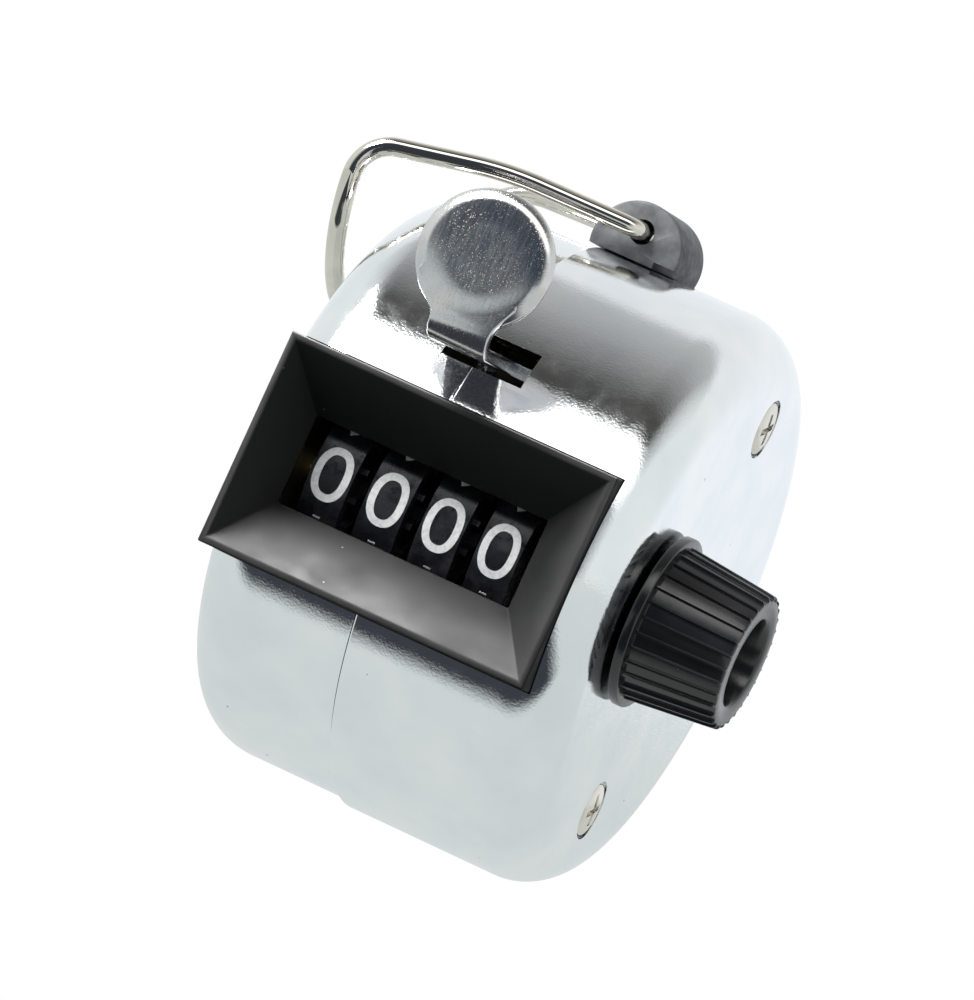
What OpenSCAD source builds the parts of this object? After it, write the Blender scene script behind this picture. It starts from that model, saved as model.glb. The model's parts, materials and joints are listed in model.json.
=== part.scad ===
// Hand tally counter: four number wheels in a round plated case. The thumb lever
// on top counts up by one, the ribbed knob on the right turns the wheels back to
// zero, and a wire finger loop folds over the left side.
// X runs along the drum's axis towards the knob, the window faces -Y and the
// lever is on top, at +Z. The origin is on the drum's axis, in the seam's plane.

/* [Case] */
// Outer radius of the right shell
case_r = 23; // [22.5:0.1:23.2]
// How far the right shell stands above the left one
seam_step = 0.4; // [0.3:0.1:0.5]
// Thickness of the shells
wall = 0.8; // [0.6:0.1:0.8]
// Depth of the left shell, from the seam to its flat face
left_depth = 13.5; // [13.4:0.1:14.5]
// Depth of the right shell, from the seam to its flat face
right_depth = 17; // [16.5:0.1:17.2]
// Radius of the round edge of both shells
edge_r = 4.6; // [4.2:0.1:4.8]
// Height of the case screws above and below the axis
screw_z = 15.6; // [15.2:0.1:15.8]

/* [Window] */
// Width of the opening over the number wheels
window_w = 19.3; // [18.5:0.1:19.5]
// Height of the opening over the number wheels
window_h = 7; // [6:0.1:7.4]
// Width of the window frame
frame_w = 27; // [26.5:0.1:27.5]
// Height of the window frame
frame_h = 16.8; // [16:0.1:17.2]
// Distance of the frame's front from the drum's axis
frame_front = 22.8; // [22.2:0.1:23]

/* [Number wheels] */
// Radius of the number wheels
wheel_r = 8.2; // [8:0.05:8.2]
// Width of a number wheel's rim
wheel_w = 3.3; // [3.2:0.05:3.35]
// Distance from one number wheel to the next
wheel_pitch = 4.65; // [4.6:0.05:4.7]

/* [Thumb lever] */
// Radius of the thumb pad
pad_r = 5.2; // [4.8:0.1:5.4]
// Height of the thumb pad's centre
pad_z = 18; // [17.6:0.1:18.4]
// Distance of the thumb pad's front from the drum's axis
pad_front = 26.9; // [26.4:0.1:27.4]
// Width of the lever where it leaves the case
tongue_w = 4.6; // [4:0.1:4.7]
// Thickness of the lever's sheet
lever_t = 1; // [0.8:0.1:1]

/* [Reset knob] */
// Radius of the knob's flange
flange_r = 6.75; // [6.5:0.05:7]
// Radius over the ribs next to the flange
knob_r = 6.1; // [5.9:0.05:6.3]
// Radius over the ribs at the knob's end
knob_tip_r = 5.35; // [5.2:0.05:5.6]
// Length of the knob, with its flange
knob_len = 8; // [7.5:0.1:9.5]
// Radius of the hole in the knob's end
knob_hole_r = 3.45; // [3.3:0.05:3.6]
// Number of ribs around the knob
knob_ribs = 30; // [24:1:32]

/* [Finger loop] */
// Diameter of the loop's wire
wire_d = 1.45; // [1.3:0.05:1.5]
// Radius of the loop's round end
loop_r = 9.5; // [9:0.1:9.8]
// Radius of the holder block's round top
block_r = 3.6; // [3.4:0.1:3.8]
// Length of the holder block
block_len = 7.6; // [7:0.1:8]

/* [Hidden] */
$fn = 64;

// Free space around a part that sits in an opening
fit = 0.1;

// Axis shared by the number wheels, the reset shaft and the knob
axis_y = -9;
axis_z = -0.8;

// Case screws: seat depth in the flat faces, seat, head and thread radii
seat_depth = 0.5;
seat_r = 2.35;
head_r = 2.1;
thread_r = 0.8;
thread_len = 5;

// Window frame, seen from the front
frame_back = 17.8;
frame_rim = 0.5;
frame_x = 0.75;
aperture_y = 18.2;

// Opening for the thumb lever
slot_x0 = -2.6;
slot_x1 = 4.1;
slot_z0 = 10.6;
slot_z1 = 13.4;

// Number wheels: index 0 is the thousands wheel, 3 is the units wheel
first_wheel_x = -7.1;
wheel_rim_r = 5.2;
wheel_hub_r = 2.8;
wheel_web = 1;

// Carry gearing: 20 teeth on a wheel, 8 on a pinion
ring_teeth = 20;
pinion_teeth = 8;
ring_root_r = 5.9;
ring_outer_r = 7.45;
ring_w = 0.6;
pinion_root_r = 1.9;
pinion_outer_r = 3.4;
pinion_bore_r = 0.75;
pinion_w = 1.1;
pinion_y = 0.52;

// Reset shaft and its bushes
shaft_r = 1.5;
shaft_bore_r = 1.55;
bush_r = 2.4;
groove_w = 1;
groove_r = 0.95;

// Frame plates
plate_r = 20.8;
plate_front = 17.4;
left_plate_x = -11.4;
right_plate_x = 12.6;
plate_t = 1;
post_r = 2.3;
post_end_r = 1.7;

// Ratchet on the units wheel
ratchet_x0 = 9.4;
ratchet_x1 = 10.6;
ratchet_teeth = 10;
ratchet_root_r = 4.3;
ratchet_outer_r = 5.5;
ratchet_phase = 105;

// Thumb lever: pivot, pawl pivot and arm
pivot_y = -16;
pivot_z = -11.5;
pivot_r = 0.75;
pawl_y = -15.5;
pawl_z = 6.5;
arm_x0 = 11.2;
arm_x1 = 12.2;
arm_w = 3;
tongue_z = 11.2;
tongue_x = -0.1;
pad_x = -0.7;
bend_r = 1.6;

// Pawl tip, where it stands behind a ratchet tooth
tip_y = -10.545;
tip_z = 3.955;

// Reset knob
knob_gap = 0.3;
knob_x0 = right_depth + knob_gap;
flange_t = 0.8;
knob_hole_depth = 4.5;
rib_groove_r = 0.42;

// Finger loop and its holder block
block_x = 2.65;
block_y = 1.3;
block_z = 23.9;
hinge_z = 25.2;
stem_r = 1.2;

// Measures worked out from those above
left_r = case_r - seam_step;
frame_x0 = frame_x - frame_w / 2;
frame_x1 = frame_x + frame_w / 2;
frame_z0 = axis_z - frame_h / 2;
frame_z1 = axis_z + frame_h / 2;
window_x = first_wheel_x + 1.5 * wheel_pitch;
right_seat_x = right_depth - wall - seat_depth;
left_seat_x = -(left_depth - wall - seat_depth);
tongue_x0 = tongue_x - tongue_w / 2;
tongue_x1 = tongue_x + tongue_w / 2;

function wheel_x(i) = first_wheel_x + i * wheel_pitch;
function gap_x(i) = wheel_x(i) + wheel_pitch / 2;

// ---------------------------------------------------------------- helpers

// Box between two corners
module span(p, q) {
    translate(p) cube(q - p);
}

// Cylinder along X from x0 to x1
module rod_x(r, x0, x1, y = 0, z = 0) {
    translate([x0, y, z]) rotate([0, 90, 0]) cylinder(r = r, h = x1 - x0);
}

// Ring along X from x0 to x1
module ring_x(r_in, r_out, x0, x1, y = 0, z = 0) {
    difference() {
        rod_x(r_out, x0, x1, y, z);
        rod_x(r_in, x0 - 1, x1 + 1, y, z);
    }
}

// Plate from x0 to x1 with an outline drawn in Y and Z
module plate_x(x0, x1) {
    translate([x0, 0, 0]) rotate([90, 0, 90]) linear_extrude(x1 - x0) children();
}

// Straight bar of width w between two points of an outline, with round ends
module bar(p, q, w) {
    d = q - p;
    translate(p) circle(w / 2);
    translate(q) circle(w / 2);
    translate(p) rotate(atan2(d[1], d[0])) translate([0, -w / 2]) square([norm(d), w]);
}

// Places its children on the shared axis of wheels and shaft
module on_axis() {
    translate([0, axis_y, axis_z]) children();
}

// ---------------------------------------------------------------- case

// Outline of half a cup: radius r, depth d and edge radius e, open at depth d0
function cup_outline(r, d, e, d0) = concat(
    [[0, d0], [r, d0]],
    [for (i = [0 : 12]) [r - e + e * cos(7.5 * i), d - e + e * sin(7.5 * i)]],
    [[0, d]]
);

// Cup that opens towards -X, with two screw seats in its flat face
module shell_cup(r, d) {
    face_in = d - wall;
    difference() {
        union() {
            rotate([0, 90, 0]) difference() {
                rotate_extrude($fn = 128) polygon(cup_outline(r, d, edge_r, 0));
                rotate_extrude($fn = 128)
                    polygon(cup_outline(r - wall, face_in, edge_r - wall, -1));
            }
            for (side = [-1, 1])
                rod_x(seat_r + 0.7, face_in - seat_depth, d - 0.4, 0, side * screw_z);
        }
        for (side = [-1, 1]) {
            rod_x(seat_r, d - seat_depth, d + 1, 0, side * screw_z);
            rod_x(thread_r + fit, face_in - 1, d, 0, side * screw_z);
        }
    }
}

// Openings through both shells: the window frame and the lever's slot
module case_openings() {
    span([frame_x0 - fit, -30, frame_z0 - fit], [frame_x1 + fit, -10, frame_z1 + fit]);
    span([slot_x0, -25, slot_z0], [slot_x1, -15, slot_z1]);
}

module left_shell() color("gainsboro") {
    lip_r = case_r - wall - fit;
    difference() {
        union() {
            mirror([1, 0, 0]) shell_cup(left_r, left_depth);
            ring_x(lip_r - 0.6, lip_r, -1, 0.9);
        }
        case_openings();
    }
}

module right_shell() color("silver") {
    difference() {
        shell_cup(case_r, right_depth);
        case_openings();
        on_axis() rod_x(bush_r + fit, right_depth - 3, right_depth + 1);
        translate([block_x, block_y, case_r - 3]) cylinder(r = stem_r + fit / 2, h = 5);
    }
}

// Funnel between the frame's rim and the opening over the wheels
module window_funnel() {
    hull() {
        span([frame_x0 + frame_rim, -frame_front - 0.1, frame_z0 + frame_rim],
             [frame_x1 - frame_rim, -frame_front, frame_z1 - frame_rim]);
        span([window_x - window_w / 2, -aperture_y, axis_z - window_h / 2],
             [window_x + window_w / 2, -aperture_y + 0.1, axis_z + window_h / 2]);
    }
}

module window_frame() color("black") {
    difference() {
        span([frame_x0, -frame_front, frame_z0], [frame_x1, -frame_back, frame_z1]);
        window_funnel();
        span([window_x - window_w / 2, -20, axis_z - window_h / 2],
             [window_x + window_w / 2, -10, axis_z + window_h / 2]);
    }
}

// Two screws with cross recesses, in the flat face at depth d
module screw_pair(d) {
    head_in = d - seat_depth;
    for (side = [-1, 1]) translate([0, 0, side * screw_z]) difference() {
        union() {
            rod_x(head_r, head_in, d - 0.1);
            translate([d - 0.1, 0, 0]) rotate([0, 90, 0])
                cylinder(r1 = head_r, r2 = head_r - 0.5, h = 0.25);
            rod_x(thread_r, head_in - thread_len, head_in);
        }
        for (turn = [20, 110]) rotate([turn, 0, 0])
            span([d - 0.45, -0.25, -1.2], [d + 1, 0.25, 1.2]);
    }
}

module left_case_screws() color("lightgray") mirror([1, 0, 0]) screw_pair(left_depth);

module right_case_screws() color("lightgray") screw_pair(right_depth);

// ---------------------------------------------------------------- frame

module plate_blank(x0) {
    difference() {
        plate_x(x0, x0 + plate_t) difference() {
            circle(plate_r);
            translate([-plate_front - 10, -30]) square([10, 60]);
            // Windows that lighten the plate behind the pinion shaft
            for (side = [-1, 1]) translate([11, side * 7]) circle(4);
        }
        for (side = [-1, 1]) rod_x(post_end_r, x0 - 1, x0 + 2, 0, side * screw_z);
        rod_x(pinion_bore_r, x0 - 1, x0 + 2, pinion_y, axis_z);
        on_axis() rod_x(bush_r + 0.03, x0 - 1, x0 + 2);
    }
}

module frame_plate_left() color("darkkhaki") plate_blank(left_plate_x);

module frame_plate_right() color("darkkhaki") difference() {
    plate_blank(right_plate_x);
    rod_x(pivot_r, right_plate_x - 1, right_plate_x + 2, pivot_y, pivot_z);
}

module frame_posts() color("darkgray") {
    for (side = [-1, 1]) difference() {
        union() {
            rod_x(post_end_r, left_seat_x, right_seat_x, 0, side * screw_z);
            rod_x(post_r, left_plate_x + plate_t, right_plate_x, 0, side * screw_z);
        }
        rod_x(thread_r, left_seat_x - 1, left_seat_x + thread_len + 1, 0, side * screw_z);
        rod_x(thread_r, right_seat_x - thread_len - 1, right_seat_x + 1, 0, side * screw_z);
    }
}

// ---------------------------------------------------------------- reset shaft and knob

module reset_shaft() color("lightsteelblue") on_axis() {
    shaft_x0 = left_plate_x - 1.3;
    shaft_x1 = knob_x0 + knob_len - knob_hole_depth;
    difference() {
        rod_x(shaft_r, shaft_x0, shaft_x1);
        // Groove that the reset pawls drop into
        span([wheel_x(0) - 2, -groove_w / 2, groove_r],
             [wheel_x(3) + 2, groove_w / 2, shaft_r + 1]);
        // Groove for the clip
        ring_x(shaft_r - 0.35, shaft_r + 1, left_plate_x - 0.8, left_plate_x - 0.4);
    }
}

module shaft_clip() color("dimgray") on_axis() difference() {
    ring_x(shaft_r - 0.35, shaft_r + 1.3, left_plate_x - 0.8, left_plate_x - 0.4);
    span([left_plate_x - 1, -0.9, -4], [left_plate_x, 0.9, 0]);
}

module shaft_bush_left() color("goldenrod") on_axis() {
    ring_x(shaft_bore_r, bush_r, left_plate_x - 0.3, left_plate_x + plate_t);
    ring_x(shaft_bore_r, 3.2, left_plate_x + plate_t, wheel_x(0) - wheel_w / 2 - 0.1);
}

module shaft_bush_right() color("goldenrod") on_axis() {
    ring_x(shaft_bore_r, bush_r, right_plate_x, right_depth + 0.1);
    ring_x(shaft_bore_r, 3.4, right_plate_x + plate_t, right_plate_x + plate_t + 0.8);
}

module reset_knob() color("black") on_axis() {
    body_x0 = knob_x0 + flange_t;
    knob_x1 = knob_x0 + knob_len;
    lean = atan((knob_r - knob_tip_r) / (knob_x1 - body_x0));
    difference() {
        union() {
            rod_x(flange_r, knob_x0, body_x0);
            translate([body_x0, 0, 0]) rotate([0, 90, 0])
                cylinder(r1 = knob_r, r2 = knob_tip_r, h = knob_x1 - body_x0);
        }
        // Grooves between the ribs
        for (i = [0 : knob_ribs - 1]) rotate([i * 360 / knob_ribs, 0, 0])
            translate([body_x0, 0, knob_r + 0.1]) rotate([0, lean, 0])
                rod_x(rib_groove_r, 0, knob_len, 0, 0);
        rod_x(shaft_r, knob_x0 - 1, knob_x1);
        rod_x(knob_hole_r, knob_x1 - knob_hole_depth, knob_x1 + 1);
    }
}

// ---------------------------------------------------------------- number wheels

// Flat tooth that points along +Y, from root radius to outer radius
module tooth(root_r, outer_r, root_w, tip_w) {
    polygon([
        [root_r - 0.3, -root_w / 2], [outer_r, -tip_w / 2],
        [outer_r, tip_w / 2], [root_r - 0.3, root_w / 2]
    ]);
}

// Ring of teeth around the axis; angles run from +Y towards +Z
module ring_gear(x0, angles) {
    plate_x(x0, x0 + ring_w) difference() {
        union() {
            circle(ring_root_r);
            for (a = angles) rotate(a) tooth(ring_root_r, ring_outer_r, 0.95, 0.45);
        }
        circle(wheel_rim_r);
    }
}

// Number wheel i. A driven wheel has 20 teeth on its right; a wheel that carries
// has 2 on its left, which have gone past the pinion and stand clear of it.
module number_wheel(i, driven, carries) {
    x = wheel_x(i);
    x0 = x - wheel_w / 2;
    x1 = x + wheel_w / 2;
    step = 360 / ring_teeth;
    on_axis() {
        difference() {
            rod_x(wheel_r, x0, x1);
            // Pocket for the reset pawl, open to the right
            ring_x(wheel_hub_r, wheel_rim_r, x0 + wheel_web, x1 + 1);
            rod_x(shaft_bore_r, x0 - 1, x1 + 1);
            // Way through the hub for the pawl's nose
            span([x0 + wheel_web, -0.7, 0], [x1 + 1, 0.7, wheel_hub_r + 0.3]);
        }
        // Pin that the reset pawl swings on
        rod_x(0.5, x0 + 0.5, x1 - 0.3, pawl_pin[0], pawl_pin[1]);
        if (driven)
            ring_gear(x1, [for (k = [0 : ring_teeth - 1]) (k + 0.5) * step]);
        if (carries)
            ring_gear(x0 - ring_w, [-1.5 * step, -2.5 * step]);
    }
}

// Place of the reset pawl's pin, from the wheel's centre
pawl_pin = 4 * [cos(150), sin(150)];

// Reset pawl of wheel i, with the end of its nose nose_r from the axis
module reset_pawl(i, nose_r) {
    x0 = wheel_x(i) - wheel_w / 2 + wheel_web + 0.2;
    heel = [0.2, 4];
    on_axis() plate_x(x0, x0 + 0.8) difference() {
        union() {
            bar(pawl_pin, heel, 0.9);
            translate(pawl_pin) circle(0.95);
            translate([-0.3, nose_r]) square([0.7, heel[1] - nose_r]);
        }
        translate(pawl_pin) circle(0.55);
    }
}

module thousands_wheel() color("dimgray") number_wheel(0, true, false);

module hundreds_wheel() color("dimgray") number_wheel(1, true, true);

module tens_wheel() color("dimgray") number_wheel(2, true, true);

module units_wheel() color("dimgray") number_wheel(3, false, true);

module thousands_reset_pawl() color("tan") reset_pawl(0, groove_r + 0.1);

module hundreds_reset_pawl() color("tan") reset_pawl(1, groove_r + 0.1);

module tens_reset_pawl() color("tan") reset_pawl(2, groove_r + 0.1);

// The units wheel turns on the shaft at each count, so its pawl rides on top
module units_reset_pawl() color("tan") reset_pawl(3, shaft_r + 0.1);

// ---------------------------------------------------------------- carry pinions

module carry_pinion(i) {
    x = gap_x(i);
    translate([0, pinion_y, axis_z]) plate_x(x - pinion_w / 2, x + pinion_w / 2) difference() {
        union() {
            circle(pinion_root_r);
            for (k = [0 : pinion_teeth - 1]) rotate(k * 360 / pinion_teeth)
                tooth(pinion_root_r, pinion_outer_r, 0.9, 0.5);
        }
        circle(pinion_bore_r);
    }
}

module thousands_pinion() color("peru") carry_pinion(0);

module hundreds_pinion() color("peru") carry_pinion(1);

module tens_pinion() color("peru") carry_pinion(2);

module pinion_shaft() color("lightsteelblue") {
    rod_x(pinion_bore_r - 0.05, left_plate_x, right_plate_x + plate_t, pinion_y, axis_z);
}

// ---------------------------------------------------------------- count drive

// One ratchet tooth: steep face at angle 0, long back falling the other way
module ratchet_tooth() {
    pitch = 360 / ratchet_teeth;
    polygon([
        [0, 0], [ratchet_outer_r, 0],
        ratchet_root_r * [cos(-pitch), sin(-pitch)]
    ]);
}

module ratchet_wheel() color("slategray") on_axis() difference() {
    union() {
        plate_x(ratchet_x0, ratchet_x1) union() {
            circle(ratchet_root_r - 0.3);
            for (k = [0 : ratchet_teeth - 1])
                rotate(ratchet_phase + k * 360 / ratchet_teeth) ratchet_tooth();
        }
        rod_x(2.5, ratchet_x1, ratchet_x1 + 0.4);
    }
    rod_x(shaft_bore_r, ratchet_x0 - 1, ratchet_x1 + 1);
}

// Dished spring washer between the units wheel and the ratchet
module clutch_spring() color("lightgray") on_axis() {
    x = wheel_x(3) + wheel_w / 2;
    translate([x, 0, 0]) rotate([0, 90, 0]) rotate_extrude()
        polygon([[1.7, 0.08], [4.4, 0.58], [4.4, 0.82], [1.7, 0.32]]);
}

// Leaf clamped on the lower post, its nose just clear of the ratchet's teeth
module detent_spring() color("lightgray") plate_x(9.6, 10.4) {
    foot = [0, -screw_z];
    knee = [-3.2, -9.6];
    nose = [-6.9, -7];
    difference() {
        union() {
            translate(foot) circle(post_r + 0.5);
            bar(foot + [-1.2, 2.2], knee, 0.35);
            bar(knee, nose, 0.35);
        }
        translate(foot) circle(post_r);
    }
}

// Thumb lever: arm beside the ratchet, bar across the top, tongue out through
// the slot, and the round pad above it
module count_lever() color("lightgray") {
    tongue_top = tongue_z + lever_t;
    bar_back = -14.9;
    bar_front = -17.4;
    pad_back = -pad_front + lever_t;
    corner_z = tongue_z + bend_r;
    difference() {
        union() {
            plate_x(arm_x0, arm_x1) {
                bar([pivot_y, pivot_z], [-15.2, axis_z], arm_w);
                bar([-15.2, axis_z], [pawl_y, pawl_z], arm_w);
                bar([pawl_y, pawl_z], [-16, tongue_top - 1.2], 2.4);
                translate([pivot_y, pivot_z]) circle(1.75);
                translate([bar_front, tongue_top - 1.2]) square([bar_back - bar_front, 1.2]);
            }
            span([tongue_x0, bar_front, tongue_z], [arm_x1, bar_back, tongue_top]);
            // Tongue, bend and neck
            plate_x(tongue_x0, tongue_x1) {
                corner = [-pad_front + bend_r, corner_z];
                translate([corner[0], tongue_z]) square([bar_back - corner[0], lever_t]);
                translate([-pad_front, corner[1]]) square([lever_t, pad_z - corner[1]]);
                intersection() {
                    translate(corner) difference() {
                        circle(bend_r);
                        circle(bend_r - lever_t);
                    }
                    translate(corner - [bend_r, bend_r]) square(bend_r);
                }
            }
            translate([pad_x, pad_back, pad_z]) rotate([90, 0, 0])
                cylinder(r = pad_r, h = lever_t, $fn = 96);
            // Shoulders between the neck and the pad
            translate([0, pad_back, 0]) rotate([90, 0, 0]) linear_extrude(lever_t) polygon([
                [tongue_x0, corner_z], [tongue_x0 - 0.8, corner_z + 0.9],
                [pad_x - 3.8, pad_z - 3.5], [pad_x + 3.5, pad_z - 3.8],
                [tongue_x1, corner_z]
            ]);
        }
        rod_x(pivot_r + fit, arm_x0 - 1, arm_x1 + 1, pivot_y, pivot_z);
        rod_x(0.6, arm_x0 - 1, arm_x1 + 1, pawl_y, pawl_z);
    }
}

module lever_pivot_pin() color("lightsteelblue") {
    rod_x(pivot_r, 9.2, right_plate_x + plate_t, pivot_y, pivot_z);
    rod_x(1.5, 9.2, 9.6, pivot_y, pivot_z);
    rod_x(1.3, arm_x1 + 0.1, right_plate_x, pivot_y, pivot_z);
}

// Pawl that pushes the ratchet round by one tooth at each press
module drive_pawl() color("slategray") {
    pivot = [pawl_y, pawl_z];
    tip = [tip_y, tip_z];
    along = (pivot - tip) / norm(pivot - tip);
    up = [-along[1], along[0]];
    rise = up[1] > 0 ? up : -up;
    plate_x(9.6, 10.5) difference() {
        union() {
            translate(pivot) circle(1.4);
            polygon([
                tip, tip + 0.45 * rise + 0.1 * along, tip + 1.2 * rise + 1.6 * along,
                pivot + 1.3 * rise, pivot - 0.2 * rise
            ]);
        }
        translate(pivot) circle(0.65);
    }
}

module pawl_pivot_pin() color("lightsteelblue") {
    rod_x(0.6, 9.4, arm_x1, pawl_y, pawl_z);
    rod_x(1.1, 9.1, 9.5, pawl_y, pawl_z);
}

// Flat spring round the pawl's pin
module pawl_spring() color("lightgray") plate_x(10.65, 11.05) {
    pivot = [pawl_y, pawl_z];
    difference() {
        union() {
            translate(pivot) circle(1.2);
            bar(pivot + [0.6, 0.8], pivot + [2.6, 0.4], 0.3);
            bar(pivot + [-0.8, -0.6], pivot + [-0.6, -2.6], 0.3);
        }
        translate(pivot) circle(0.65);
    }
}

// ---------------------------------------------------------------- wire

function unit(v) = v / norm(v);

// Points of a rounded corner at b, between a and c, with radius r
function corner(a, b, c, r, n) =
    let (
        u = unit(a - b),
        v = unit(c - b),
        open = acos(u * v),
        turn = 180 - open,
        start = b + u * r / tan(open / 2),
        end = b + v * r / tan(open / 2),
        centre = b + unit(u + v) * r / sin(open / 2)
    )
    [for (i = [0 : n])
        centre + (sin(turn * (1 - i / n)) * (start - centre)
            + sin(turn * i / n) * (end - centre)) / sin(turn)];

// Round wire of radius r along a path; side is never parallel to the path
module wire(path, r, side, sides = 8) {
    n = len(path);
    ring = [for (i = [0 : n - 1])
        let (
            t = unit(path[min(i + 1, n - 1)] - path[max(i - 1, 0)]),
            u = unit(cross(t, side)),
            v = cross(t, u)
        )
        for (k = [0 : sides - 1])
            path[i] + r * (cos(k * 360 / sides) * u + sin(k * 360 / sides) * v)];
    walls = [for (i = [0 : n - 2], k = [0 : sides - 1])
        let (a = i * sides + k, b = i * sides + (k + 1) % sides)
        [a, b, b + sides, a + sides]];
    first = [for (k = [sides - 1 : -1 : 0]) k];
    last = [for (k = [0 : sides - 1]) (n - 1) * sides + k];
    polyhedron(points = ring, faces = concat([first], walls, [last]));
}

// Coil round the lever's pivot pin, one leg on the arm and one on the frame
module lever_return_spring() color("lightgray") {
    turns = 3.25;
    coil_r = 1.25;
    steps = 14 * turns;
    coil = [for (i = [0 : steps])
        let (a = 360 * i / 14)
        [9.85 + 1.05 * i / steps, pivot_y + coil_r * cos(a), pivot_z + coil_r * sin(a)]];
    start_leg = [[9.85, pivot_y + coil_r, pivot_z - 3.6]];
    end_leg = [[10.9, pivot_y + 3.4, pivot_z + coil_r]];
    wire(concat(start_leg, coil, end_leg), 0.2, [1, 0.2, 0.1], 6);
}

// ---------------------------------------------------------------- finger loop

module loop_block() color("dimgray") {
    y0 = block_y - block_len / 2;
    difference() {
        union() {
            translate([block_x, y0, block_z]) rotate([-90, 0, 0])
                cylinder(r = block_r, h = block_len);
            translate([block_x, block_y, case_r - 2]) cylinder(r = stem_r, h = 4);
        }
        // Flat base that just meets the case, round the stem
        difference() {
            span([block_x - 6, y0 - 1, case_r - 6], [block_x + 6, y0 + block_len + 1, case_r]);
            translate([block_x, block_y, case_r - 8]) cylinder(r = stem_r, h = 20);
        }
        translate([block_x, y0 - 1, hinge_z]) rotate([-90, 0, 0])
            cylinder(r = wire_d / 2 + 0.25, h = block_len + 2);
        // Notch at the lower right corner of the front
        span([block_x + 1.8, y0 - 1, case_r - 1], [block_x + 4, y0 + 0.8, case_r + 0.5]);
    }
}

module loop_block_clip() color("lightgray") translate([block_x, block_y, 0]) difference() {
    translate([0, 0, case_r - 2]) cylinder(r = 1.65, h = 0.55);
    translate([0, 0, case_r - 3]) cylinder(r = stem_r, h = 3);
}

// Corners of the loop's front half, from the hinge to the round end
pin_end_y = block_y - 0.7;
loop_out_y = block_y - block_len / 2 - 1.5;
elbow_r = 1.2;
wire_start_y = loop_out_y + elbow_r + 0.3;
loop_side_y = block_y - loop_r;
loop_end = [-18.1, 20.4];
loop_lean = 0.06;
loop_corners = [
    [block_x, wire_start_y, hinge_z],
    [block_x, loop_out_y, hinge_z],
    [-7.5, -6.6, 25.1],
    [loop_end[0], loop_side_y, 22.9],
    [loop_end[0], loop_side_y, loop_end[1]]
];
loop_bends = [elbow_r, 24, 3];

// Front half of the loop's centre line, then its round end, then the back half
loop_front = concat(
    [loop_corners[0]],
    [for (i = [0 : 2])
        each corner(loop_corners[i], loop_corners[i + 1], loop_corners[i + 2],
            loop_bends[i], i == 1 ? 3 : 6)]
);
loop_round = [for (i = [0 : 16])
    let (a = 180 * i / 16)
    [loop_end[0] + loop_lean * loop_r * sin(a), block_y - loop_r * cos(a),
        loop_end[1] - loop_r * sin(a)]];
loop_back = [for (i = [len(loop_front) - 1 : -1 : 0])
    [loop_front[i][0], 2 * block_y - loop_front[i][1], loop_front[i][2]]];

module finger_loop() color("silver") {
    pin_len = pin_end_y - loop_out_y - elbow_r;
    wire(concat(loop_front, loop_round, loop_back), wire_d / 2, [1, 1, 1], 10);
    for (side = [-1, 1]) translate([block_x, block_y, hinge_z]) rotate([side * 90, 0, 0])
        translate([0, 0, block_y - pin_end_y]) cylinder(r = wire_d / 2 + 0.03, h = pin_len);
}

left_shell();
right_shell();
window_frame();
frame_plate_left();
frame_plate_right();
frame_posts();
left_case_screws();
right_case_screws();
reset_knob();
reset_shaft();
shaft_clip();
shaft_bush_left();
shaft_bush_right();
thousands_wheel();
hundreds_wheel();
tens_wheel();
units_wheel();
thousands_reset_pawl();
hundreds_reset_pawl();
tens_reset_pawl();
units_reset_pawl();
thousands_pinion();
hundreds_pinion();
tens_pinion();
pinion_shaft();
ratchet_wheel();
clutch_spring();
detent_spring();
count_lever();
lever_pivot_pin();
lever_return_spring();
drive_pawl();
pawl_pivot_pin();
pawl_spring();
loop_block();
loop_block_clip();
finger_loop();
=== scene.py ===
"""Hand tally counter: looks, light and camera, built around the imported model."""
import json
import math

import bpy
import bmesh
from mathutils import Matrix, Vector


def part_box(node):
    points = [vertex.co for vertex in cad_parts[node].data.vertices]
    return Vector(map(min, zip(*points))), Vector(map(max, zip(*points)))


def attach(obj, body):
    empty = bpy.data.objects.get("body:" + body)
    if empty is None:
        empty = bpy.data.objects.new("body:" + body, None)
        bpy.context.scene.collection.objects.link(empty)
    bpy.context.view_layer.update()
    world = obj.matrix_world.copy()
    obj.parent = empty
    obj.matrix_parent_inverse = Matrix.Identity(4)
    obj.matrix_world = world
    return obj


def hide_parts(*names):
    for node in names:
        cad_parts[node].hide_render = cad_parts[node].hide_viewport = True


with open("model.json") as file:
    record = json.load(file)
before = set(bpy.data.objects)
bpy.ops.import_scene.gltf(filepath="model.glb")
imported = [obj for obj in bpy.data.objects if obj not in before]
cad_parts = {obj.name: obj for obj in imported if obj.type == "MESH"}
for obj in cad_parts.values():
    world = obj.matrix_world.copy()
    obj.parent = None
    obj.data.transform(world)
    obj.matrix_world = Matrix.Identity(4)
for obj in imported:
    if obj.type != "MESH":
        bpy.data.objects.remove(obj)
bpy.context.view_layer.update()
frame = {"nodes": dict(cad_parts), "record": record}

MM = 0.001
nodes = frame["nodes"]


# ---------------------------------------------------------------- measures from the frame

def box_mm(node):
    """Lowest and highest corner of a CAD node, in millimetres."""
    low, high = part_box(node)
    return low / MM, high / MM


right_low, right_high = box_mm("right_shell")
left_low, left_high = box_mm("left_shell")
window_low, window_high = box_mm("window_frame")
knob_low, knob_high = box_mm("reset_knob")
lever_low = box_mm("count_lever")[0]
block_low, block_high = box_mm("loop_block")
WHEELS = ["thousands_wheel", "hundreds_wheel", "tens_wheel", "units_wheel"]

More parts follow.
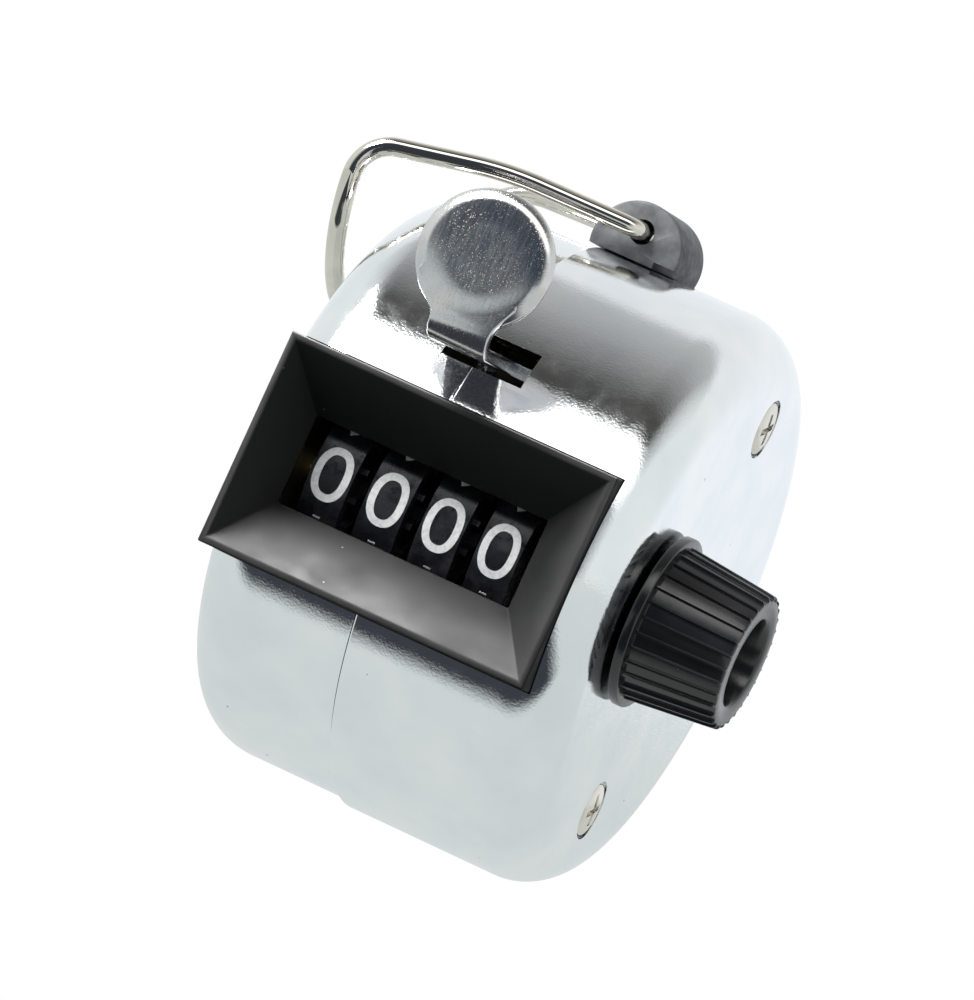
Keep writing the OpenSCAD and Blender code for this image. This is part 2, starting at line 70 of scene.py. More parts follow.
CASE_R = right_high.y
LEFT_R = left_high.y
CASE_X0, CASE_X1 = left_low.x, right_high.x
EDGE_R, LEFT_EDGE_R = 4.6, 5.0
WALL = 0.8
SCREW_Z = 15.6
SEAT_R = 2.35
SEAT_DEPTH = 0.5
AXIS_Y = (knob_low.y + knob_high.y) / 2
AXIS_Z = (knob_low.z + knob_high.z) / 2
APERTURE_Y = -18.2
APERTURE_W, APERTURE_H = 19.3, 7.0
APERTURE_X = -0.125
SLOT = (-2.6, 4.1, 10.6, 13.4)


# ---------------------------------------------------------------- mesh helpers

def add_mesh(name, verts, faces, material, body, slot, replaces=()):
    """A piece from points in millimetres, which rides on a CAD body."""
    mesh = bpy.data.meshes.new(name)
    mesh.from_pydata([Vector(v) * MM for v in verts], [], faces)
    mesh.update()
    return place(name, mesh, material, body, replaces)


def place(name, mesh, material, body, replaces=()):
    """Makes the piece's object, gives it its finish and hangs it on its body."""
    obj = bpy.data.objects.new(name, mesh)
    bpy.context.scene.collection.objects.link(obj)
    mesh.materials.clear()
    mesh.materials.append(material)
    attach(obj, body)
    if replaces:
        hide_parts(*replaces)
    return obj


def smooth(mesh, degrees=35):
    """Smooth shading with sharp edges where faces meet at more than this angle."""
    mesh.polygons.foreach_set("use_smooth", [True] * len(mesh.polygons))
    mesh.set_sharp_from_angle(angle=math.radians(degrees))


def fix_normals(mesh):
    """Turns every face outwards and joins points that coincide."""
    bm = bmesh.new()
    bm.from_mesh(mesh)
    bmesh.ops.remove_doubles(bm, verts=bm.verts, dist=1e-7)
    bmesh.ops.recalc_face_normals(bm, faces=bm.faces)
    bm.to_mesh(mesh)
    bm.free()
    mesh.update()


def applied(obj):
    """Bakes an object's modifiers into its mesh."""
    bpy.context.view_layer.update()
    depsgraph = bpy.context.evaluated_depsgraph_get()
    mesh = bpy.data.meshes.new_from_object(obj.evaluated_get(depsgraph))
    old = obj.data
    obj.modifiers.clear()
    obj.data = mesh
    bpy.data.meshes.remove(old)
    return mesh


def bevel(obj, width, segments=3, degrees=30):
    """Rounds the edges sharper than an angle; width in millimetres."""
    mod = obj.modifiers.new("bevel", "BEVEL")
    mod.width = width * MM
    mod.segments = segments
    mod.limit_method = "ANGLE"
    mod.angle_limit = math.radians(degrees)
    mod.harden_normals = False
    applied(obj)
    smooth(obj.data)


def revolve(points, segments, centre=(0.0, 0.0)):
    """Points and faces of an outline of (x, r) pairs turned round the X axis."""
    verts, faces, rings = [], [], []
    for x, r in points:
        if r < 1e-6:
            rings.append([len(verts)] * segments)
            verts.append((x, centre[0], centre[1]))
            continue
        rings.append(list(range(len(verts), len(verts) + segments)))
        for k in range(segments):
            a = 2 * math.pi * k / segments
            verts.append((x, centre[0] + r * math.cos(a), centre[1] + r * math.sin(a)))
    for ring, after in zip(rings, rings[1:]):
        for k in range(segments):
            n = (k + 1) % segments
            face = [ring[k], ring[n], after[n], after[k]]
            face = list(dict.fromkeys(face))
            if len(face) > 2:
                faces.append(face)
    return verts, faces


def temp_mesh(verts, faces):
    """A loose object used as a boolean's cutter, in millimetres."""
    mesh = bpy.data.meshes.new("cutter")
    mesh.from_pydata([Vector(v) * MM for v in verts], [], faces)
    fix_normals(mesh)
    obj = bpy.data.objects.new("cutter", mesh)
    bpy.context.scene.collection.objects.link(obj)
    return obj


def box_cutter(low, high):
    corners = [(x, y, z) for x in (low[0], high[0])
               for y in (low[1], high[1]) for z in (low[2], high[2])]
    faces = [(0, 1, 3, 2), (4, 6, 7, 5), (0, 4, 5, 1), (2, 3, 7, 6), (0, 2, 6, 4), (1, 5, 7, 3)]
    return temp_mesh(corners, faces)


def rod_cutter(r, x0, x1, y, z, segments=64):
    return temp_mesh(*revolve([(x0, 0), (x0, r), (x1, r), (x1, 0)], segments, (y, z)))


def cut(obj, cutters):
    """Takes the cutters out of the object and deletes them."""
    for cutter in cutters:
        mod = obj.modifiers.new("cut", "BOOLEAN")
        mod.operation = "DIFFERENCE"
        mod.solver = "EXACT"
        mod.object = cutter
    applied(obj)
    for cutter in cutters:
        bpy.data.objects.remove(cutter)


# ---------------------------------------------------------------- materials

class Finish:
    """A Principled material with short ways to add procedural detail in millimetres."""

    def __init__(self, name, color, metallic=0.0, roughness=0.4, **sockets):
        self.mat = bpy.data.materials.new(name)
        self.mat.use_nodes = True
        self.tree = self.mat.node_tree
        self.bsdf = self.tree.nodes["Principled BSDF"]
        self.bsdf.inputs["Base Color"].default_value = (*color, 1)
        self.bsdf.inputs["Metallic"].default_value = metallic
        self.bsdf.inputs["Roughness"].default_value = roughness
        for key, value in sockets.items():
            self.bsdf.inputs[key.replace("_", " ")].default_value = value
        coords = self.tree.nodes.new("ShaderNodeTexCoord")
        self.coords = self.tree.nodes.new("ShaderNodeMapping")
        self.coords.inputs["Scale"].default_value = (1 / MM,) * 3
        self.tree.links.new(coords.outputs["Object"], self.coords.inputs["Vector"])
        self.normal = None

    def link(self, output, socket):
        self.tree.links.new(output, socket)

    def stretched(self, scale):
        """The millimetre coordinates, scaled differently along each axis."""
        node = self.tree.nodes.new("ShaderNodeMapping")
        node.inputs["Scale"].default_value = scale
        self.link(self.coords.outputs["Vector"], node.inputs["Vector"])
        return node.outputs["Vector"]

    def noise(self, size, detail=2.0, vector=None, roughness=0.5):
        """Noise with features about this many millimetres across."""
        node = self.tree.nodes.new("ShaderNodeTexNoise")
        node.inputs["Scale"].default_value = 1 / size
        node.inputs["Detail"].default_value = detail
        node.inputs["Roughness"].default_value = roughness
        self.link(vector or self.coords.outputs["Vector"], node.inputs["Vector"])
        return node.outputs["Fac"]

    def cells(self, size, vector=None):
        """Distance from, and a random grey for, points about this far apart."""
        node = self.tree.nodes.new("ShaderNodeTexVoronoi")
        node.inputs["Scale"].default_value = 1 / size
        self.link(vector or self.coords.outputs["Vector"], node.inputs["Vector"])
        return node.outputs["Distance"], node.outputs["Color"]

    def ramp(self, value, stops):
        """Maps a value through (position, grey or colour) stops."""
        node = self.tree.nodes.new("ShaderNodeValToRGB")
        elements = node.color_ramp.elements
        while len(elements) < len(stops):
            elements.new(0.5)
        for element, (position, shade) in zip(elements, stops):
            element.position = position
            color = shade if isinstance(shade, tuple) else (shade,) * 3
            element.color = (*color, 1)
        self.link(value, node.inputs["Fac"])
        return node.outputs["Color"]

    def math(self, operation, a, b):
        node = self.tree.nodes.new("ShaderNodeMath")
        node.operation = operation
        for socket, value in zip(node.inputs, (a, b)):
            if isinstance(value, (int, float)):
                socket.default_value = value
            else:
                self.link(value, socket)
        return node.outputs["Value"]

    def mix(self, factor, a, b):
        """Mixes two colours, each a tuple or an output."""
        node = self.tree.nodes.new("ShaderNodeMix")
        node.data_type = "RGBA"
        self.link(factor, node.inputs["Factor"])
        for socket, value in ((node.inputs["A"], a), (node.inputs["B"], b)):
            if isinstance(value, tuple):
                socket.default_value = (*value, 1)
            else:
                self.link(value, socket)
        return node.outputs["Result"]

    def bump(self, height, depth):
        """Adds relief this many millimetres deep."""
        node = self.tree.nodes.new("ShaderNodeBump")
        node.inputs["Distance"].default_value = depth * MM
        self.link(height, node.inputs["Height"])
        if self.normal:
            self.link(self.normal, node.inputs["Normal"])
        self.normal = node.outputs["Normal"]
        self.link(self.normal, self.bsdf.inputs["Normal"])

    def color(self, output):
        self.link(output, self.bsdf.inputs["Base Color"])

    def roughness(self, output):
        self.link(output, self.bsdf.inputs["Roughness"])

    def pits(self, spacing, radius, share):
        """1 inside small round spots, one in some of the cells, else 0."""
        distance, shade = self.cells(spacing)
        near = self.ramp(distance, [(0, 1), (radius / spacing, 1), (1.6 * radius / spacing, 0)])
        chosen = self.ramp(shade, [(1 - share, 0), (min(1, 1.01 - share), 1)])
        return self.math("MULTIPLY", near, chosen)


def chrome_plate():
    f = Finish("chrome_plate", (0.86, 0.875, 0.89), metallic=1, roughness=0.07)
    cloud = f.noise(6, 3)
    pits = f.pits(2.6, 0.07, 0.4)
    tint = f.ramp(cloud, [(0.3, (0.80, 0.83, 0.86)), (0.7, (0.90, 0.905, 0.91))])
    f.color(f.mix(pits, tint, (0.10, 0.09, 0.08)))
    f.roughness(f.ramp(f.noise(1.4, 4), [(0.3, 0.05), (0.75, 0.13)]))
    f.bump(f.noise(1.1, 1), 0.006)
    f.bump(f.noise(0.2, 2), 0.0075)
    f.bump(f.math("SUBTRACT", 0.0, pits), 0.02)
    return f.mat


def nickel(name, tint, rough):
    f = Finish(name, tint, metallic=1, roughness=rough)
    f.color(f.ramp(f.noise(2.2, 3), [
        (0.3, tuple(0.86 * c for c in tint)), (0.7, tint)]))
    f.roughness(f.ramp(f.noise(0.6, 3), [(0.3, 0.7 * rough), (0.7, 1.5 * rough)]))
    f.bump(f.noise(0.5, 2), 0.002)
    return f.mat


def lever_steel():
    """Plated sheet, finely pitted, with faint rubbing along its length."""
    f = Finish("lever_steel", (0.70, 0.68, 0.66), metallic=1, roughness=0.1)
    rubbed = f.noise(0.16, 3, f.stretched((1.0, 1.0, 0.1)))
    flecks = f.pits(0.13, 0.03, 0.55)
    patches = f.ramp(f.noise(2.2, 2), [(0.35, 0.2), (0.7, 0.8)])
    sparks = f.math("MULTIPLY", flecks, patches)
    tint = f.ramp(f.noise(3, 2), [(0.3, (0.60, 0.62, 0.65)), (0.7, (0.72, 0.71, 0.70))])
    f.color(f.mix(sparks, tint, (1.0, 0.70, 0.46)))
    streaks = f.ramp(rubbed, [(0.4, 0.15), (0.7, 0.21)])
    f.roughness(f.math("ADD", streaks, f.math("MULTIPLY", sparks, 0.35)))
    f.bump(f.noise(0.3, 2), 0.002)
    f.bump(rubbed, 0.0006)
    f.bump(sparks, 0.004)
    return f.mat


def gloss_black(name, base, rough, grain, shine=0.5):
    """Moulded black plastic with faint smudges, scratches and dust."""
    f = Finish(name, base, roughness=rough, Specular_IOR_Level=shine)
    dust = f.pits(1.7, 0.05, 0.35)
    scratches = f.ramp(f.noise(0.12, 1, f.stretched((1.0, 1.0, 0.05))), [(0.66, 0), (0.72, 1)])
    smudge = f.noise(3.5, 4)
    dark = f.mix(smudge, tuple(0.8 * c for c in base), tuple(1.35 * c for c in base))
    f.color(f.mix(dust, dark, (0.16, 0.15, 0.14)))
    f.roughness(f.ramp(smudge, [(0.3, 0.8 * rough), (0.75, 1.5 * rough)]))
    f.bump(f.noise(grain, 3), 0.004)
    f.bump(scratches, 0.0015)
    return f.mat


def wheel_black():
    """Matt black wheel rims with rubbed, slightly greyer patches."""
    f = Finish("wheel_black", (0.008, 0.008, 0.01), roughness=0.33, Specular_IOR_Level=0.4)
    worn = f.ramp(f.noise(1.6, 4), [(0.45, 0), (0.8, 1)])
    f.color(f.mix(worn, (0.006, 0.006, 0.008), (0.03, 0.03, 0.034)))
    f.roughness(f.ramp(f.noise(0.5, 3), [(0.3, 0.22), (0.7, 0.42)]))
    f.bump(f.noise(0.25, 3), 0.003)
    return f.mat


def figure_white():
    f = Finish("figure_white", (0.62, 0.63, 0.62), roughness=0.5)
    f.color(f.ramp(f.noise(0.3, 3), [(0.3, (0.52, 0.54, 0.54)), (0.6, (0.68, 0.69, 0.68))]))
    f.bump(f.noise(0.12, 2), 0.004)
    return f.mat


def block_grey():
    """Matt moulded plastic with a fine grain and a mottled tone."""
    f = Finish("block_grey", (0.09, 0.095, 0.1), roughness=0.6)
    f.color(f.ramp(f.noise(1.2, 5), [(0.3, (0.035, 0.038, 0.042)), (0.7, (0.095, 0.1, 0.105))]))
    f.roughness(f.ramp(f.noise(0.7, 3), [(0.3, 0.5), (0.7, 0.72)]))
    f.bump(f.noise(0.2, 4), 0.012)
    return f.mat


def plain_metal(name, tint, rough, brushed=(1.0, 0.2, 0.2)):
    """Inner metal parts: turned or rolled, with fine lines one way."""
    f = Finish(name, tint, metallic=1, roughness=rough)
    lines = f.noise(0.15, 3, f.stretched(brushed))
    f.color(f.ramp(lines, [(0.3, tuple(0.8 * c for c in tint)), (0.7, tint)]))
    f.roughness(f.ramp(lines, [(0.3, 0.8 * rough), (0.7, 1.4 * rough)]))
    f.bump(lines, 0.003)
    return f.mat


def acetal():
    f = Finish("acetal", (0.75, 0.72, 0.65), roughness=0.4, Subsurface_Weight=0.1)
    f.color(f.ramp(f.noise(1, 2), [(0.3, (0.70, 0.67, 0.60)), (0.7, (0.78, 0.75, 0.69))]))
    f.bump(f.noise(0.3, 2), 0.003)
    return f.mat


CHROME = chrome_plate()
FRAME_BLACK = gloss_black("frame_black", (0.014, 0.014, 0.014), 0.5, 0.5, 0.12)
KNOB_BLACK = gloss_black("knob_black", (0.009, 0.009, 0.01), 0.2, 0.35, 0.7)
WHEEL_BLACK = wheel_black()
FIGURE_WHITE = figure_white()
LEVER_STEEL = lever_steel()
NICKEL_WIRE = nickel("nickel_wire", (0.80, 0.76, 0.68), 0.05)
NICKEL_SCREW = nickel("nickel_screw", (0.78, 0.74, 0.67), 0.16)
BLOCK_GREY = block_grey()

CAD_FINISHES = {
    "zinc_plate": plain_metal("zinc_plate", (0.62, 0.58, 0.45), 0.35),
    "turned_steel": plain_metal("turned_steel", (0.64, 0.65, 0.67), 0.22, (0.2, 1.0, 1.0)),
    "spring_steel": plain_metal("spring_steel", (0.50, 0.50, 0.53), 0.28),
    "brass_bush": plain_metal("brass_bush", (0.80, 0.60, 0.28), 0.28, (0.2, 1.0, 1.0)),
    "pinion_plastic": acetal(),
    "black_wheel_plastic": WHEEL_BLACK,
}
for part in frame["record"]["subparts"]:
    finish = CAD_FINISHES.get(part["material_slot"])
    if finish:
        cad_mesh = nodes[part["node"]].data
        cad_mesh.materials.clear()
        cad_mesh.materials.append(finish)


# ---------------------------------------------------------------- case

# Half the open line between the two case halves
SEAM_GAP = 0.06


def shell_outline(r, depth, edge):
    """Outline of a cup from the middle of its flat face, round the rim, and back inside."""
    steps = 20
    arc = [math.radians(90 * i / steps) for i in range(steps + 1)]
    face_r, side_x = r - edge, depth - edge
    outer = [(side_x + edge * math.cos(a), face_r + edge * math.sin(a)) for a in arc]
    inner_r = edge - WALL
    inner = [(side_x + inner_r * math.cos(a), face_r + inner_r * math.sin(a))
             for a in reversed(arc)]
    lip = 0.14
    rim = [(side_x * 0.6, r), (side_x * 0.3, r), (SEAM_GAP + lip, r),
           (SEAM_GAP + 0.3 * lip, r - 0.3 * lip), (SEAM_GAP, r - lip), (SEAM_GAP, r - WALL)]
    return [(depth, 0), (depth, face_r * 0.5)] + outer + rim + inner + [(depth - WALL, 0)]


def shell_normal(p, r, depth, edge, side):
    """Outward direction of the outer surface at p, or None away from it."""
    t, radius = side * p.x, math.hypot(p.y, p.z)
    out = Vector((0, p.y, p.z)).normalized()
    if t > depth - 0.002:
        return Vector((side, 0, 0))
    if t > depth - edge:
        dx, dr = t - (depth - edge), radius - (r - edge)
        if abs(math.hypot(dx, dr) - edge) > 0.02 or dr < -0.02:
            return None
        return (Vector((side * dx, 0, 0)) + out * dr).normalized()
    return out if abs(radius - r) < 0.02 and t > 0.1 else None


def true_normals(mesh, r, depth, edge, side):
    """Gives the outer surface its exact round shading, whatever was cut from it."""
    normals = []
    mesh.polygons.foreach_set("use_smooth", [True] * len(mesh.polygons))
    for face in mesh.polygons:
        middle = shell_normal(face.center / MM, r, depth, edge, side)
        on_surface = middle is not None and middle.dot(face.normal) > 0.95
        for index in face.vertices:
            normal = None
            if on_surface:
                normal = shell_normal(mesh.vertices[index].co / MM, r, depth, edge, side)
            normals.append(normal or face.normal)
    mesh.normals_split_custom_set(normals)


def opening_cutters():
    """Cutters for the window frame and the lever's slot."""
    gap = 0.1
    return [
        box_cutter((window_low.x - gap, -30, window_low.z - gap),
                   (window_high.x + gap, -10, window_high.z + gap)),
        box_cutter((SLOT[0], -25, SLOT[2]), (SLOT[1], -15, SLOT[3])),
    ]


def seat_cutters(depth, side):
    """Cutters for the two screw seats in a half's flat face."""
    face = side * depth
    x_in, x_out = sorted((face - side * SEAT_DEPTH, face + side))
    return [rod_cutter(SEAT_R, x_in, x_out, 0, up * SCREW_Z) for up in (-1, 1)]


def soften_slot(mesh, r):
    """Rounds the outer edge of the lever's slot, as drawn sheet has it."""
    bm = bmesh.new()
    bm.from_mesh(mesh)
    x0, x1, z0, z1 = SLOT
    near = 0.02

    def at_slot(v):
        p = v.co / MM
        inside = x0 - near < p.x < x1 + near and z0 - near < p.z < z1 + near
        return inside and p.y < 0 and abs(math.hypot(p.y, p.z) - r) < near

    edges = [e for e in bm.edges
             if all(at_slot(v) for v in e.verts) and abs(e.calc_face_angle(0)) > 0.5]
    edges = [e for e in edges if not all(abs(v.co.x / MM) < SEAM_GAP + near for v in e.verts)]
    bmesh.ops.bevel(bm, geom=edges, offset=0.14 * MM, segments=3, profile=0.5,
                    affect="EDGES", clamp_overlap=True)
    bm.to_mesh(mesh)
    bm.free()
    mesh.update()


def case_shell(name, node, r, depth, edge, side):
    verts, faces = revolve(shell_outline(r, depth, edge), 240)
    verts = [(side * x, y, z) for x, y, z in verts]
    obj = add_mesh(name, verts, faces, CHROME, "case", "chrome_case", [node])
    fix_normals(obj.data)
    cut(obj, opening_cutters() + seat_cutters(depth, side))
    soften_slot(obj.data, r)
    true_normals(obj.data, r, depth, edge, side)
    return obj


def lip_ring():
    """Lip of the left shell that the right one slides over, seen through the slot."""
    outer = CASE_R - WALL - 0.1
    ring = [(-1, outer - 0.6), (-1, outer), (0.9, outer), (0.9, outer - 0.6), (-1, outer - 0.6)]
    verts, faces = revolve(ring, 180)
    obj = add_mesh("left_shell_lip", verts, faces, CHROME, "case", "chrome_case")
    fix_normals(obj.data)
    cut(obj, opening_cutters())
    smooth(obj.data)


def cross_screw(name, x_face, side, up):
    """Domed head with a cross recess, in its seat."""
    seat = x_face - side * SEAT_DEPTH
    dome = [(0, 0), (0, 1.95), (0.07, 2.06), (0.16, 2.1), (0.34, 2.1), (0.43, 2.06),
            (0.5, 1.95), (0.57, 1.6), (0.62, 1.1), (0.645, 0.6), (0.65, 0)]
    verts, faces = revolve([(seat + side * h, r) for h, r in dome], 72, (0, up * SCREW_Z))
    obj = add_mesh(name, verts, faces, NICKEL_SCREW, "case", "nickel_screw")
    fix_normals(obj.data)
    blades = []
    for turn in (20, 110):
        blade = box_cutter((seat + side * 0.2, -0.26, -1.25), (seat + side * 2, 0.26, 1.25))
        blade.data.transform(Matrix.Translation((0, 0, up * SCREW_Z * MM))
                             @ Matrix.Rotation(math.radians(turn), 4, "X"))
        fix_normals(blade.data)
        blades.append(blade)
    cut(obj, blades)
    bevel(obj, 0.05, 2, 40)
    return obj


def case():
    case_shell("right_case_half", "right_shell", CASE_R, CASE_X1, EDGE_R, 1)
    case_shell("left_case_half", "left_shell", LEFT_R, -CASE_X0, LEFT_EDGE_R, -1)
    lip_ring()
    for label, x_face, side in (("right", CASE_X1, 1), ("left", CASE_X0, -1)):
        screws = [cross_screw(f"{label}_case_screw_{level}", x_face, side, up)
                  for level, up in (("low", -1), ("high", 1))]
        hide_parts(f"{label}_case_screws")


# ---------------------------------------------------------------- window frame

def window_frame():
    """Funnel: nested rectangles from the outer wall over the rim and down to the opening."""
    x0, x1, z0, z1 = window_low.x, window_high.x, window_low.z, window_high.z
    front, back = window_low.y, window_high.y
    rim = 0.5
    half_w, half_h = APERTURE_W / 2, APERTURE_H / 2
    hole = (APERTURE_X - half_w, APERTURE_X + half_w, AXIS_Z - half_h, AXIS_Z + half_h)
    levels = [
        ((x0, x1, z0, z1), back),
        ((x0, x1, z0, z1), front),
        ((x0 + rim, x1 - rim, z0 + rim, z1 - rim), front),
        (hole, APERTURE_Y),
        (hole, back),
    ]
    verts = []
    for (a, b, c, d), y in levels:
        verts += [(a, y, c), (b, y, c), (b, y, d), (a, y, d)]
    faces = []
    count = len(levels)
    for i in range(count):
        for k in range(4):
            n = (k + 1) % 4
            m = (i + 1) % count
            faces.append((4 * i + k, 4 * i + n, 4 * m + n, 4 * m + k))
    obj = add_mesh("window_bezel", verts, faces, FRAME_BLACK, "case",
                   "black_gloss_plastic", ["window_frame"])
    fix_normals(obj.data)
    bevel(obj, 0.13, 3, 20)
    return obj


# ---------------------------------------------------------------- reset knob

KNOB_RIBS = 30
FLANGE_R, FLANGE_T = 6.75, 0.8
KNOB_R, KNOB_TIP_R = 6.1, 5.35
KNOB_HOLE_R, KNOB_HOLE_DEPTH = 3.45, 4.5
SHAFT_R = 1.5
# How deep the ribs are across one pitch: 0 on a ridge, 1 on the flat between two
RIB_SHAPE = [(0, 0), (0.05, 0), (0.075, 0.35), (0.1, 0.85), (0.13, 1), (0.3, 1.0),
             (0.5, 1.0), (0.7, 1.0), (0.87, 1), (0.9, 0.85), (0.925, 0.35), (0.95, 0)]


def knob_stations():
    """(x, radius, flute depth) from the shaft hole round the outside and into the end hole."""
    x0, x1 = knob_low.x, knob_high.x
    body = x0 + FLANGE_T
    hole_floor = x1 - KNOB_HOLE_DEPTH
    flute = 0.26
    stations = [
        (x0, SHAFT_R, 0), (x0, FLANGE_R - 0.12, 0), (x0 + 0.04, FLANGE_R - 0.04, 0),
        (x0 + 0.12, FLANGE_R, 0), (body - 0.12, FLANGE_R, 0), (body - 0.04, FLANGE_R - 0.04, 0),
        (body, FLANGE_R - 0.12, 0), (body, KNOB_R + 0.1, 0), (body + 0.05, KNOB_R, 0.5 * flute),
        (body + 0.15, KNOB_R - 0.01, flute),
    ]
    for i in range(1, 8):
        t = i / 8
        stations.append((body + t * (x1 - body), KNOB_R + t * (KNOB_TIP_R - KNOB_R), flute))
    stations += [
        (x1 - 0.22, KNOB_TIP_R, flute), (x1 - 0.1, KNOB_TIP_R - 0.05, flute),
        (x1 - 0.02, KNOB_TIP_R - 0.16, 0.8 * flute), (x1, KNOB_TIP_R - 0.3, 0.6 * flute),
        (x1, KNOB_TIP_R - 0.75, 0), (x1 - 0.02, KNOB_HOLE_R + 0.22, 0),
        (x1 - 0.1, KNOB_HOLE_R + 0.08, 0), (x1 - 0.25, KNOB_HOLE_R, 0),
    ]
    # Tool rings down the bore, which narrows a little
    rings = 7
    for i in range(1, rings + 1):
        x = x1 - 0.25 - (KNOB_HOLE_DEPTH - 0.4) * i / rings
        r = KNOB_HOLE_R - 0.75 * i / rings
        stations += [(x + 0.12, r + 0.03, 0), (x, r, 0)]
    stations += [(hole_floor, KNOB_HOLE_R - 1.0, 0), (hole_floor, SHAFT_R, 0)]
    return stations


def reset_knob():
    angles = [2 * math.pi * (i + t) / KNOB_RIBS for i in range(KNOB_RIBS) for t, _ in RIB_SHAPE]
    shape = [depth for _ in range(KNOB_RIBS) for _, depth in RIB_SHAPE]
    verts, faces = [], []
    stations = knob_stations()
    count = len(angles)
    for x, r, flute in stations:
        for a, depth in zip(angles, shape):
            rr = r - flute * depth
            verts.append((x, AXIS_Y + rr * math.cos(a), AXIS_Z + rr * math.sin(a)))
    for i in range(len(stations)):
        m = (i + 1) % len(stations)
        for k in range(count):
            n = (k + 1) % count
            faces.append((i * count + k, i * count + n, m * count + n, m * count + k))
    obj = add_mesh("ribbed_reset_knob", verts, faces, KNOB_BLACK, "reset_drive",
                   "black_knob_plastic", ["reset_knob"])
    fix_normals(obj.data)
    smooth(obj.data, 38)


# ---------------------------------------------------------------- lever

LEVER_T = 1.0
TONGUE_X0, TONGUE_X1 = -2.4, 2.2
TONGUE_Z = 11.7
BEND_R = 1.1
BAR_BACK, BAR_FRONT = -14.9, -17.4
ARM_X0, ARM_X1 = 11.2, 12.2
PIVOT = (-16.0, -11.5)
PAWL_PIN = (-15.5, 6.5)
PAD_X, PAD_Z, PAD_R = -0.7, 18.0, 5.2


def extrude_x(outline, x0, x1):
    """A closed plate from an outline of (y, z) points."""
    n = len(outline)
    verts = [(x, y, z) for x in (x0, x1) for y, z in outline]
    faces = [tuple(range(n)), tuple(range(2 * n - 1, n - 1, -1))]
    faces += [(i, (i + 1) % n, n + (i + 1) % n, n + i) for i in range(n)]
    return verts, faces


def stadium(a, b, width, steps=14):
    """Outline of a bar with round ends between two (y, z) points."""
    heading = math.atan2(b[1] - a[1], b[0] - a[0])
    outline = []
    for end, turn in ((b, -90), (a, 90)):
        for i in range(steps + 1):
            angle = heading + math.radians(turn + 180 * i / steps)
            outline.append((end[0] + width / 2 * math.cos(angle),
                            end[1] + width / 2 * math.sin(angle)))
    return outline


def lever_sheet():
    """Tongue, bend and neck: (middle y, z, outward y, z, left x, right x) along the sheet."""
    front = lever_low.y + LEVER_T / 2 + 0.04
    centre = (front + BEND_R, TONGUE_Z + BEND_R)
    rows = [(BAR_BACK, TONGUE_Z, 0, -1, TONGUE_X0, TONGUE_X1),
            (-22, TONGUE_Z, 0, -1, TONGUE_X0, TONGUE_X1)]
    for i in range(11):
        a = math.radians(270 - 9 * i)
        rows.append((centre[0] + BEND_R * math.cos(a), centre[1] + BEND_R * math.sin(a),
                     math.cos(a), math.sin(a), TONGUE_X0 - 0.02 * i, TONGUE_X1))
    top = centre[1]
    for up, left, right in ((0.35, -2.75, 2.22), (0.9, -3.45, 2.35), (1.7, -4.4, 2.7),
                            (2.6, -4.9, 3.2), (4.5, -4.2, 2.8)):
        rows.append((front, top + up, -1, 0, left, right))
    verts, faces = [], []
    half = LEVER_T / 2
    for y, z, ny, nz, left, right in rows:
        for x, side in ((left, half), (right, half), (right, -half), (left, -half)):
            verts.append((x, y + side * ny, z + side * nz))
    for i in range(len(rows) - 1):
        for k in range(4):
            n = (k + 1) % 4
            faces.append((4 * i + k, 4 * i + n, 4 * i + 4 + n, 4 * i + 4 + k))
    last = len(verts) - 4
    faces += [(3, 2, 1, 0), (last, last + 1, last + 2, last + 3)]
    return verts, faces


def pad_disc():
    """Round thumb pad: flat middle, rolled rim; revolved about Y."""
    front, back = lever_low.y, lever_low.y + LEVER_T
    profile = [(0, front), (2.5, front), (4.2, front + 0.01), (4.42, front + 0.06),
               (4.62, front + 0.14), (4.8, front + 0.24), (4.96, front + 0.36),
               (5.1, front + 0.51), (PAD_R, front + 0.68), (PAD_R, back - 0.12),
               (PAD_R - 0.05, back - 0.03), (PAD_R - 0.15, back), (0, back)]
    verts, faces = revolve([(y, r) for r, y in profile], 144)
    return [(PAD_X + b, a, PAD_Z + c) for a, b, c in verts], faces


def joined(obj, others):
    """Unites loose solids with the object and deletes them."""
    for other in others:
        mod = obj.modifiers.new("join", "BOOLEAN")
        mod.operation = "UNION"
        mod.solver = "EXACT"
        mod.object = other
    applied(obj)
    for other in others:
        bpy.data.objects.remove(other)


def count_lever():
    obj = add_mesh("thumb_lever", *lever_sheet(), LEVER_STEEL, "lever",
                   "polished_lever_steel", ["count_lever"])
    fix_normals(obj.data)
    bevel(obj, 0.13, 3, 40)
    inner = (-15.2, AXIS_Z)
    top = (-16.0, 11.0)
    bar_z = (TONGUE_Z - LEVER_T / 2, TONGUE_Z + LEVER_T / 2)
    plates = [temp_mesh(*extrude_x(stadium(a, b, w), ARM_X0, ARM_X1)) for a, b, w in (
        (PIVOT, inner, 3.5), (inner, PAWL_PIN, 3), (PAWL_PIN, top, 2.4))]
    bar = box_cutter((TONGUE_X0 + 0.3, BAR_FRONT, bar_z[0] + 0.01),
                     (ARM_X1 - 0.01, BAR_BACK - 0.01, bar_z[1] - 0.01))
    joined(obj, [temp_mesh(*pad_disc()), bar] + plates)
    cut(obj, [rod_cutter(0.85, ARM_X0 - 1, ARM_X1 + 1, *PIVOT, 40),
              rod_cutter(0.6, ARM_X0 - 1, ARM_X1 + 1, *PAWL_PIN, 32)])
    smooth(obj.data, 32)


# ---------------------------------------------------------------- block and finger loop

